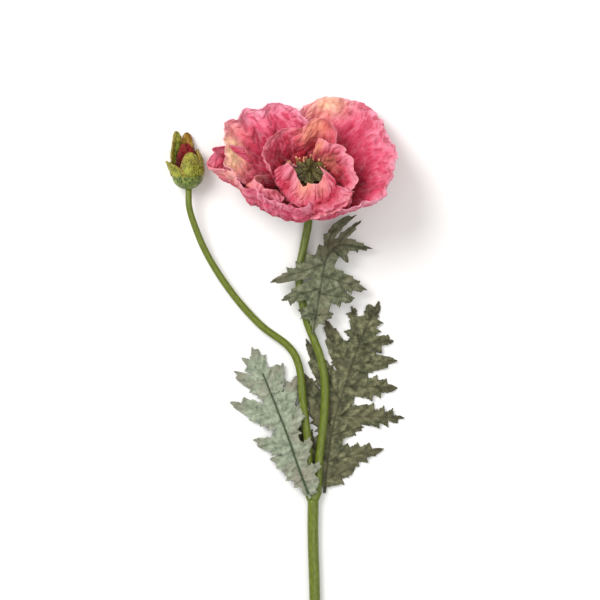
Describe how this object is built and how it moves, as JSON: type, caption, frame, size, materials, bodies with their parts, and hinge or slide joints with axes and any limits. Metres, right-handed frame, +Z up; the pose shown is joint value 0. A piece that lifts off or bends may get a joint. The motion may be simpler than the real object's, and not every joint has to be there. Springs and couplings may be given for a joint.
{
  "type": "poppy flower",
  "caption": "Artificial poppy spray with an open pink flower, an opening bud and lobed leaves on a branched green stem, lying flat.",
  "frame": {"origin": "centre of the bounding box's lowest plane, on the surface that the spray lies on", "axes": "+Y along the spray from the cut end of the stem to the flower, +X to the right, +Z up from the surface"},
  "size_m": [0.1514, 0.3926, 0.0756],
  "materials": {
    "stem_plastic": "moulded green plastic over wire, satin",
    "leaf_fabric": "stamped and printed leaf cloth, matt",
    "rib_plastic": "dark green plastic-covered wire",
    "petal_fabric": "crinkled pink petal cloth, matt with a soft sheen",
    "inner_petal_fabric": "crinkled petal cloth, deep red at the base",
    "bud_plastic": "moulded olive green, browned at the tips",
    "bud_petal_fabric": "crumpled dark red petal cloth",
    "pod_plastic": "moulded olive green seed head",
    "stamen_plastic": "moulded peach and tan filaments"
  },
  "bodies": {
    "root": {"main_stem": "stem_plastic", "stem_joint": "stem_plastic", "flower_stem": "stem_plastic", "bud_stem": "stem_plastic", "left_leaf": "leaf_fabric", "right_leaf": "leaf_fabric", "upper_leaf": "leaf_fabric", "left_leaf_rib": "rib_plastic", "right_leaf_rib": "rib_plastic", "upper_leaf_rib": "rib_plastic", "receptacle": "bud_plastic", "bud_cup": "bud_plastic", "pod": "pod_plastic", "stigma_disc": "pod_plastic", "stamens": "stamen_plastic", "outer_petal_back_left": "petal_fabric", "outer_petal_back_right": "petal_fabric", "outer_petal_front_right": "petal_fabric", "outer_petal_front_left": "petal_fabric", "inner_petal_back": "inner_petal_fabric", "inner_petal_right": "inner_petal_fabric", "inner_petal_front_right": "inner_petal_fabric", "inner_petal_left": "inner_petal_fabric", "inner_petal_cup": "inner_petal_fabric", "bud_sepal_1": "bud_plastic", "bud_sepal_2": "bud_plastic", "bud_sepal_3": "bud_plastic", "bud_sepal_4": "bud_plastic", "bud_sepal_5": "bud_plastic", "bud_petal_1": "bud_petal_fabric", "bud_petal_2": "bud_petal_fabric", "bud_petal_3": "bud_petal_fabric"}
  },
  "joints": []
}
